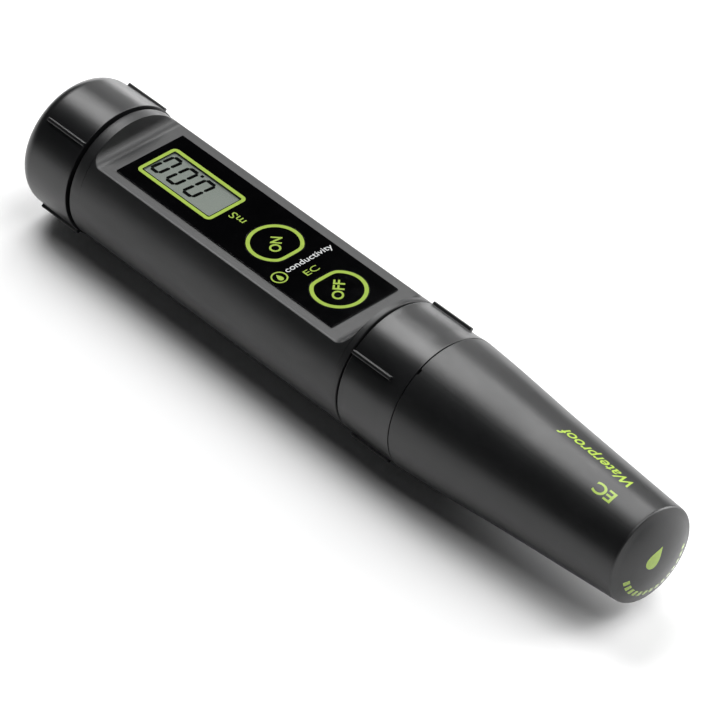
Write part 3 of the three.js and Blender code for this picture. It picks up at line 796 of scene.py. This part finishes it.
# ---------------- display
INLAY = 0.02
SEGMENT, SEGMENT_TIP, SLANT = 0.95, 0.08, 0.09
DIGIT_LOW, DIGIT_HIGH = -3.2, 3.7


def segment_bar(x0, y0, x1, y1):
    """A display bar with pointed ends between two points, slanted with the digits."""
    length = math.hypot(x1 - x0, y1 - y0)
    ux, uy = (x1 - x0) / length, (y1 - y0) / length
    half = SEGMENT / 2
    along = (SEGMENT_TIP, half, length - half, length - SEGMENT_TIP, length - half, half)
    across = (0, half, half, 0, -half, -half)
    points = [(x0 + ux * a - uy * c, y0 + uy * a + ux * c) for a, c in zip(along, across)]
    return [(x + (y - (DIGIT_LOW + DIGIT_HIGH) / 2) * SLANT, y) for x, y in points]


def lit(name, outlines):
    dress(sheet_of(name, outlines, LCD_HIGH.z - INLAY, LCD_HIGH.z), "lcd_segment", "housing")


def digit_zero(name, x0, x1):
    """Six lit bars of a seven-bar zero; x0 and x1 are the middles of its sides."""
    middle = (DIGIT_LOW + DIGIT_HIGH) / 2
    halves = ((DIGIT_LOW, middle), (middle, DIGIT_HIGH))
    bars = [segment_bar(x0, y, x1, y) for y in (DIGIT_LOW, DIGIT_HIGH)]
    lit(name, bars + [segment_bar(x, a, x, b) for x in (x0, x1) for a, b in halves])


panel_outline = box_outline(LCD_LOW, LCD_HIGH, 0, 0.25)
panel = sheet_of("lcd_panel_body", [panel_outline], LCD_LOW.z, LCD_HIGH.z - INLAY, 0.05)
dress(panel, "lcd_glass", "housing", "lcd_panel", finish="lcd_backing")
digit_zero("digit_1", 44.3, 47.5)
digit_zero("digit_2", 38.3, 41.4)
digit_zero("digit_3", 32.8, 35.6)
lit("decimal_point", [rounded_rectangle(42.55, 43.4, 3.4, 4.2, 0.15)])
pane = sheet_of("display_pane", [box_outline(PANE_LOW, PANE_HIGH, 0, 0.4)], PANE_LOW.z, PANE_HIGH.z, 0.04)
dress(pane, "window_clear", "housing", "display_window")
# ---------------- battery cap and collar ring
RIB_END_STEPS = (-0.3, -0.01, 0.0, 0.02, 0.05, 0.1, 0.15, 0.2, 0.3)


def nut_rings(inside, degrees, neck_thread):
    """Rings of a bored wall from (x, radius) points, with thread ridges hanging from the plain bore."""
    rings = []
    start = neck_thread + NUT_THREAD_DELAY
    for x, radius in inside:
        relief = thread_relief(x, degrees, start, 0.75, 0.7) if radius > NUT_BORE - 0.05 else 0
        rings.append(around(x, radius - relief, degrees))
    return rings


def cap_radius(x):
    """The battery cap widens from its rounded closed end to its open rim."""
    return float(np.interp(x, (CAP_FILLET, CAP_END), (CAP_CLOSED_R, CAP_R)))


def battery_cap():
    degrees = rib_columns(CAP_RIBS, CAP_R)
    end = CAP_END
    corner = CAP_CLOSED_R - (CAP_R - CAP_CLOSED_R) * CAP_FILLET / (end - CAP_FILLET)
    outside = rounded([(0, 0), (0, corner, CAP_FILLET), (end, CAP_R, 0.15), (end, NUT_BORE)], 18)
    rings = [[(0, 0, 0)], around(0, 4, degrees), around(0, 9, degrees)]
    rings += [around(x, radius, degrees) for x, radius in outside[1:] if x < CAP_FILLET - 0.01]
    rib_start = 5.0
    stations = [CAP_FILLET] + [rib_start + step for step in RIB_END_STEPS]
    stations += list(np.arange(5.6, end - 0.5, 0.4)) + [end - 0.45, end - 0.35, end - 0.25]
    ends = [(x, r) for x, r in outside if x > end - 0.2 and r > NUT_BORE + 0.2]
    for x, radius in [(x, cap_radius(x)) for x in stations] + ends:
        relief = rib_relief(x, degrees, CAP_RIBS, rib_start - 1e-6, end + 0.05, cap_radius(x), CAP_RIB_TIP)
        rings.append(around(x, radius + relief, degrees))
    inside = [(end, NUT_BORE + 0.2), (end - 0.2, NUT_BORE)]
    inside += [(x, NUT_BORE) for x in np.arange(end - 0.4, 3.5, -0.09)]
    inside += [(3.4, NUT_BORE), (2.7, 15.05), (CAP_WALL, 14.3), (CAP_WALL, 8)]
    swivel_socket = [(CAP_WALL, 4.9), (2.55, 4.65), (4.0, 4.6), (4.1, 4.45), (4.1, 2.2), (4.0, 2.1)]
    inside += swivel_socket + [(3.6, 2.1), (3.6, 2.9), (CAP_WALL, 2.9)]
    rings += nut_rings(inside, degrees, CAP_THREAD)
    rings.append([(CAP_WALL, 0, 0)])
    return loft("battery_cap_shell", rings)


def collar_radius(x):
    """The collar is straight under its ribs and flares a little to meet the protective cap."""
    ends = (COLLAR_START, COLLAR_START + 1.5, COLLAR_FLARE_X, COLLAR_END)
    return float(np.interp(x, ends, (COLLAR_R + 0.07, COLLAR_R, COLLAR_R, COLLAR_FLARE_R)))


def collar_ring():
    degrees = rib_columns(COLLAR_RIBS, COLLAR_R)
    start, end, lip = COLLAR_START, COLLAR_END, COLLAR_LIP_X
    corners = [(start, collar_radius(start), 0.2), (COLLAR_FLARE_X, COLLAR_R), (end, COLLAR_FLARE_R, 0.12)]
    edge = rounded([(start, NUT_BORE + 0.2), *corners, (end, COLLAR_LIP_R + 0.2)], 8)
    left = [(x, r) for x, r in edge if x < start + 1 and r > 15.6]
    right = [(x, r) for x, r in edge if x > end - 1 and r > 15.6]
    rib_end = 126.2
    tail = [rib_end - step for step in RIB_END_STEPS[::-1]]
    stations = list(np.arange(start + 0.4, rib_end - 0.4, 0.4)) + tail + [128, 129, 130]
    ribs = (COLLAR_RIBS, start - 0.05, rib_end + 1e-6)
    rings = []
    for x, radius in left + [(x, collar_radius(x)) for x in stations] + right:
        relief = rib_relief(x, degrees, *ribs, collar_radius(x), COLLAR_RIB_TIP)
        rings.append(around(x, radius + relief, degrees))
    inside = [(end, COLLAR_LIP_R + 0.2), (end - 0.2, COLLAR_LIP_R), (lip + 0.2, COLLAR_LIP_R)]
    inside += [(lip, COLLAR_LIP_R + 0.2), (lip, NUT_BORE - 0.1), (lip - 0.1, NUT_BORE)]
    inside += [(x, NUT_BORE) for x in np.arange(lip - 0.3, start + 0.3, -0.09)]
    inside += [(start + 0.2, NUT_BORE), (start, NUT_BORE + 0.2)]
    rings += nut_rings(inside, degrees, COLLAR_THREAD)
    return loft("collar_ring_shell", rings, wrap=True)


dress(battery_cap(), "cap_plastic", "battery_cap", "battery_cap")
dress(collar_ring(), "cap_plastic", "collar_ring", "collar_ring")

# ---------------- protective cap
SLEEVE_OUTSIDE = (
    (131.0, 17.38), (137, 17.0), (143, 16.55), (149, 16.02), (155, 15.48), (161, 14.97),
    (167, 14.53), (173, 14.08), (179, 13.67), (185, 13.23), (190, 12.87), (195.6, 12.47),
)
SLEEVE_WALL = 1.7
GRIP_RIBS, GRIP_R = (30, 90, 150, 210, 270, 330), 13.55
GRIP_START, GRIP_END = 131.6, 141.2
NOTCH_ANGLE, NOTCH_DEPTH = 120, 0.55
DOME_R, DOME_EDGE = 23.7, 11.9
DECAL = 0.025


def dome_drop(radius):
    """How far the shallow domed end is behind the tip at this distance from the axis."""
    return DOME_R - math.sqrt(DOME_R**2 - radius**2)


def tip_profile():
    """The tight rounded edge between the taper and the domed end."""
    (x0, r0), (x1, r1) = SLEEVE_OUTSIDE[-2:]
    corner_x = TIP_X - dome_drop(DOME_EDGE) - 0.12
    corner = (corner_x, r1 + (r1 - r0) / (x1 - x0) * (corner_x - x1), 0.75)
    inner = (TIP_X - dome_drop(10.5), 10.5)
    return rounded([(x1, r1), corner, inner], 10)[1:-1]


def sleeve_radius(x):
    return float(np.interp(x, *zip(*SLEEVE_OUTSIDE)))


def sleeve_columns():
    """Ring angles, with extra columns at the sides of the inner grip ribs and of the notch."""
    columns = set(np.round(np.arange(0, 360, 2.0), 3))
    near_rib = [side * c for side in (-1, 1) for c in (0.9, 1.8, 2.3, 2.6, 2.9, 3.3)]
    columns |= {round((angle + c) % 360, 3) for angle in GRIP_RIBS for c in near_rib}
    columns |= {round(NOTCH_ANGLE + side * c, 3) for side in (-1, 1) for c in (2.0, 2.1, 2.2, 2.35, 2.5)}
    return np.array(sorted(columns))


def protective_cap():
    """One skin: from the inner point of the tip to the mouth, and back along the outside."""
    start = SLEEVE_START - 0.15
    degrees = sleeve_columns()
    to_rib = np.min([turn_between(degrees, angle) for angle in GRIP_RIBS], axis=0)
    rib = 1 - smooth_step(to_rib, 2.45, 2.95)
    notch = NOTCH_DEPTH * (1 - smooth_step(turn_between(degrees, NOTCH_ANGLE), 2.05, 2.35))
    rings = [[(TIP_X - 2.1, 0, 0)]]
    inside = [(TIP_X - 2.25, 4), (TIP_X - 2.6, 7), (196.4, 8.6), (195.6, 9.8), (194.8, 10.4), (194, 10.75)]
    stations = list(np.linspace(193, 142, 40))
    stations += [141.4, 141.1, 140.9, 140, 138, 136, 134, 132.3, 131.9, 131.7, GRIP_START]
    for x, radius in inside + [(x, sleeve_radius(x) - SLEEVE_WALL) for x in stations]:
        fade = (1 - smooth_step(x, GRIP_END - 0.3, GRIP_END)) * smooth_step(x, GRIP_START, GRIP_START + 0.3)
        rings.append(around(x, radius - (radius - GRIP_R) * fade * rib, degrees))
    rings.append(around(start, 15.7, degrees))
    mouth = [(start, 17.2), (start + 0.02, 17.3), (start + 0.06, 17.36), (start + 0.14, 17.385)]
    stations = [start + u for u in (0.22, 0.3, 0.36, 0.4, 0.45, 0.5, 0.55, 0.7)]
    stations += list(np.linspace(132.4, 195.3, 64))
    for x, radius in mouth + [(x, sleeve_radius(x)) for x in stations]:
        fade = 1 - smooth_step(x, start + 0.38, start + 0.52)
        rings.append(around(x, radius - notch * fade, degrees))
    for x, radius in tip_profile() + [(TIP_X - dome_drop(r), r) for r in np.arange(11.25, 0.5, -0.75)]:
        rings.append(around(x, radius, degrees))
    rings.append([(TIP_X, 0, 0)])
    return loft("protective_cap_shell", rings)


def crease(work, place, across):
    """Cuts a flat mesh along a line, so that it can bend there."""
    geom = work.verts[:] + work.edges[:] + work.faces[:]
    bmesh.ops.bisect_plane(work, geom=geom, plane_co=place, plane_no=across)


def bend_print(name, mesh, work, place_of, outward, finish=None):
    """Moves each point of a flat print to its place on the protective cap, and gives it thickness."""
    bmesh.ops.triangulate(work, faces=work.faces)
    for vert in work.verts:
        vert.co = Vector(put([place_of(vert.co)])[0])
    work.to_mesh(mesh)
    work.free()
    thicken(mesh, outward, DECAL)
    dress(new_object(name, mesh), "print_lime", "protective_cap", finish=finish)


def wrapped_word(name, word, middle_x, middle_angle, height, width, weight, slant=0.0):
    """A word printed round the sleeve. It reads towards -x, with its letters' tops towards the near side."""
    mesh = word_mesh(word, height, width, weight, slant)
    work = bmesh.new()
    work.from_mesh(mesh)
    for i in range(int(height / 0.3) * 2 + 2):
        crease(work, (0, i * 0.3 - height, 0), (0, 1, 0))

    def place_of(point):
        x = middle_x - point.x
        angle = middle_angle + math.degrees(point.y / sleeve_radius(middle_x))
        return around(x, sleeve_radius(x) - 0.008, [angle])[0]

    def outward(point):
        return Vector((0, point.y, point.z - AXIS_Z)).normalized()

    bend_print(name, mesh, work, place_of, outward, "sleeve_ink")


def dome_print(name, outlines):
    """Printed on the domed end: outlines of (across, up) seen from the tip, up being towards the keypad."""
    flat = sheet_of(name + "_flat", outlines, 0, 0.02)
    mesh = flat.data.copy()
    bpy.data.objects.remove(flat)
    work = bmesh.new()
    work.from_mesh(mesh)
    bmesh.ops.delete(work, geom=[f for f in work.faces if f.normal.z < 0.5], context="FACES")
    for level in np.arange(-10.5, 10.6, 0.5):
        for across in ((1, 0, 0), (0, 1, 0)):
            crease(work, (START + level * MM, level * MM, 0), across)

    def place_of(point):
        y, z = (point.x - START) / MM, point.y / MM
        return TIP_X - dome_drop(math.hypot(y, z)) - 0.012, y, z

    centre = Vector(put([(TIP_X - DOME_R, 0, 0)])[0])
    bend_print(name, mesh, work, place_of, lambda point: (point - centre).normalized())


def arc_dash(radius, width, first, last):
    """One dash of a ring, between two angles."""
    turns = np.linspace(first, last, 8)
    outer, inner = around(0, radius + width / 2, turns), around(0, radius - width / 2, turns[::-1])
    return [(y, z) for _, y, z in (*outer, *inner)]


dress(protective_cap(), "sleeve_plastic", "protective_cap", "protective_cap")
dome_print("tip_drop_mark", [droplet((-1.6, 2.3), 3.0, 42)])
dome_print("tip_grip_dashes", [arc_dash(8.9, 1.5, angle, angle + 7.5) for angle in range(-170, -4, 12)])
wrapped_word("sleeve_word", "Waterproof", 176.2, 78.6, 3.6, 22.4, 0.012, 0.25)
wrapped_word("sleeve_kind", "EC", 185.0, 106, 3.0, 5.6, 0.02)

# ---------------- probe
probe_corners = [
    (PROBE_START, 0), (PROBE_START, 11.9, 0.4), (116.2, 11.9), (116.2, 10.7, 0.15), (117.8, 10.7, 0.15),
    (117.8, 11.9), (124.1, 11.9, 0.1), (124.1, 14.3, 0.2), (126.2, 14.3, 0.2), (126.2, 13.3, 0.1),
    (141, 13.3, 1.2), (144.5, 10.6, 1.6), (145.6, 8.6, 0.8), (149, 8.4, 2), (176.5, 7.6, 1.0),
    (PROBE_END, 6.4, 0.5), (PROBE_END, 0),
]
probe = turned("probe_rod", probe_corners, 128, 2.0)
for node in ("electrode_near", "electrode_far", "temperature_sensor"):
    (start, end), (_, y, z), radius = ends_of(node), middle_of(node), radius_of(node)
    room = start - 0.1, radius + 0.1
    pocket = turned("pocket", [(room[0], 0), room, (190, room[1]), (190, 0)], 48)
    cut_away(probe, off_axis(pocket, y, z))
    sensor = node == "temperature_sensor"
    corners = [(start, 0), (start, radius), (end, radius, radius * 0.55 if sensor else 0.25), (end, 0)]
    rod = off_axis(turned(node + "_rod", corners, 48), y, z)
    dress(rod, "stainless" if sensor else "graphite", "probe_module", node)
dress(probe, "probe_plastic", "probe_module", "probe_body")
dress(seal_ring("probe_seal_ring", "probe_seal"), "seal_rubber", "probe_module", "probe_seal")
dress(seal_ring("neck_seal_ring", "neck_seal"), "seal_rubber", "housing", "neck_seal")

# ---------------- battery well, carrier and cells
well_corners = [
    (WELL_START, 7.45, 0.15), (WELL_START, 12, 0.2), (WELL_START + 1.6, 12, 0.2),
    (WELL_START + 1.6, 8.3, 0.3), (WELL_END, 8.3, 0.5), (WELL_END, 2, 0.1),
    (WELL_END - 1, 2, 0.1), (WELL_END - 1, 7.45, 0.4),
]
well = turned_ring("battery_well_cup", well_corners)
hole = turned("hole", [(7, 0), (7, 1.2), (11.6, 1.2), (11.6, 0)], 48)
cut_away(well, off_axis(hole, *middle_of("trimmer_screw")[1:]))
low, high = span("battery_contact_strip")
slot_outline = rounded_rectangle(7, 11.6, low.y - 0.3, high.y + 0.2, 0.05)
cut_away(well, sheet_of("slot", [slot_outline], low.z - 0.3, high.z + 0.3))
dress(well, "inner_plastic", "housing", "battery_well")

start, end = ends_of("battery_contact_pin")
pin_corners = [(start, 0), (start, 0.6, 0.1), (start + 0.5, 1.7, 0.2), (end, 1.7, 0.3), (end, 0)]
dress(turned("contact_pin", pin_corners, 64), "contact_brass", "housing", "battery_contact_pin")

carrier_corners = [
    (2.75, 0), (2.75, 2.6, 0.15), (3.35, 2.6, 0.1), (3.35, 1.8, 0.05), (4.2, 1.8, 0.1), (4.2, 11, 0.3),
    (5.4, 11, 0.3), (5.4, 7.1, 0.3), (28.2, 7.1, 0.3), (28.2, 5.98, 0.2), (5.4, 5.98), (5.4, 0),
]
carrier = turned("carrier_tube", carrier_corners, 128)
cut_away(carrier, sheet_of("loading", [rounded_rectangle(6.4, 27.2, -4.9, 4.9, 0.8)], 2.6, 9.0))
dress(carrier, "inner_plastic", "battery_carrier", "battery_carrier")
for number in range(1, 5):
    cell = f"battery_cell_{number}"
    radius, (x0, x1) = radius_of(cell), ends_of(cell)
    can = [(x0 + 0.5, 5.1, 0.05), (x0 + 0.55, radius, 0.3), (x1, radius, 0.35), (x1, 4.6, 0.1)]
    button = [(x0, 0), (x0, 4.4, 0.15), (x0 + 0.35, 4.5, 0.1), (x0 + 0.35, 4.95, 0.05)]
    corners = button + can + [(x1 - 0.06, 4.4, 0.1), (x1 - 0.06, 0)]
    dress(turned(f"cell_{number}", corners, 96), "cell_steel", "battery_carrier", cell)


def coil(name, node, turns=2.0, wire=0.25, outer=4.6, inner=3.2):
    """A conical contact spring, wound from one round wire."""
    start, end = ends_of(node)
    rings = []
    for t in np.linspace(0, 1, 161):
        x = start + wire + (end - start - 2 * wire) * t
        radius = outer + (inner - outer) * t
        section = np.radians(whole_turn(14))
        turn = np.full_like(section, 360 * turns * t)
        rings.append(around(x + wire * np.sin(section), radius + wire * np.cos(section), turn))
    ends = [[np.mean(ring, axis=0)] for ring in (rings[0], rings[-1])]
    return loft(name, ends[:1] + rings + ends[1:])


dress(coil("carrier_coil", "carrier_spring"), "spring_steel", "battery_carrier", "carrier_spring")

# ---------------- small inner parts kept from the frame
KEPT = (
    ("print_white", 0.2, ["lcd_frame"]),
    ("elastomer", 0.15, ["lcd_connector_near", "lcd_connector_far"]),
    ("board_green", 0.08, ["circuit_board"]),
    ("chip_plastic", 0.15, ["controller_chip", "board_socket"]),
    ("tin_plate", 0.3, ["clock_crystal"]),
    ("tin_plate", 0.15, ["on_switch", "off_switch"]),
    ("capacitor_jacket", 0.4, ["buffer_capacitor"]),
    ("trimmer_blue", 0.12, ["trimmer_body"]),
    ("contact_brass", 0.08, ["trimmer_screw"]),
    ("contact_brass", 0.06, ["battery_contact_strip"]),
    ("contact_brass", 0.12, ["probe_plug"]),
    ("screw_steel", 0.15, [f"board_screw_{number}" for number in range(1, 5)]),
)
for finish, edge, names in KEPT:
    for name in names:
        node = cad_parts[name]
        node.data.materials.clear()
        node.data.materials.append(FINISHES[finish])
        soften_edges(node, edge)

# ---------------- floor, lights and camera
REACH = 6.0
floor_mesh = bpy.data.meshes.new("floor")
corners = [(-REACH, -REACH, 0), (REACH, -REACH, 0), (REACH, REACH, 0), (-REACH, REACH, 0)]
floor_mesh.from_pydata(corners, [], [(0, 1, 2, 3)])
floor = new_object("floor", floor_mesh)
paper = Finish("paper", (0.86, 0.86, 0.86, 1), 0.7)
paper.bump(paper.noise(2.5, 3), 0.02, 0.2)
paper.set({"Emission Color": (1, 1, 1, 1), "Emission Strength": 0.006})
floor_mesh.materials.append(paper.material)

TARGET = Vector((0.003, -0.0032, 0.0176))


def light(name, offset, width, height, power, facing=None):
    """A rectangular light at an offset from the target; it faces the target if no direction is given."""
    data = bpy.data.lights.new(name, "AREA")
    data.shape = "RECTANGLE"
    data.size, data.size_y, data.energy = width, height, power
    lamp = new_object(name, data)
    lamp.location = TARGET + Vector(offset)
    lamp.rotation_euler = Vector(facing or [-part for part in offset]).to_track_quat("-Z", "Y").to_euler()


light("overhead_softbox", (-0.6204, 0.222, 1.0032), 0.52, 0.72, 8.8)
light("overhead_far", (-0.408, 0.648, 0.924), 0.4, 0.4, 3.8)
light("far_strip", (-0.42, 0.3, 0.018), 0.52, 0.08, 0.44, facing=(0, -1, 0))
light("far_side_high", (-0.83, 1.2, 0.6), 1.1, 0.4, 1.6)
light("tip_side", (1.1, 1.0, 0.32), 1.0, 0.5, 2.5)
light("front_top", (0.6, 0.2, 1.2), 1.0, 1.0, 12.5)
light("far_front", (0.5, 1.3, 0.6), 1.0, 1.0, 25)

world = bpy.data.worlds.new("studio")
world.use_nodes = True
background = world.node_tree.nodes["Background"]
background.inputs["Color"].default_value = (0.9, 0.95, 1.0, 1)
background.inputs["Strength"].default_value = 0.02
bpy.context.scene.world = world
bpy.context.scene.view_settings.view_transform = "Standard"

camera_data = bpy.data.cameras.new("camera")
camera_data.lens = 256.41
camera_data.sensor_width = 36
camera_data.clip_end = 20
camera = new_object("camera", camera_data)
right = Vector((0.67313, 0.73911, 0.02472))
upward = Vector((-0.49131, 0.42197, 0.76194))
turn = Matrix((right, upward, right.cross(upward))).transposed().to_4x4()
camera.matrix_world = Matrix.Translation((0.635508, -0.604089, 0.758251)) @ turn
bpy.context.scene.camera = camera
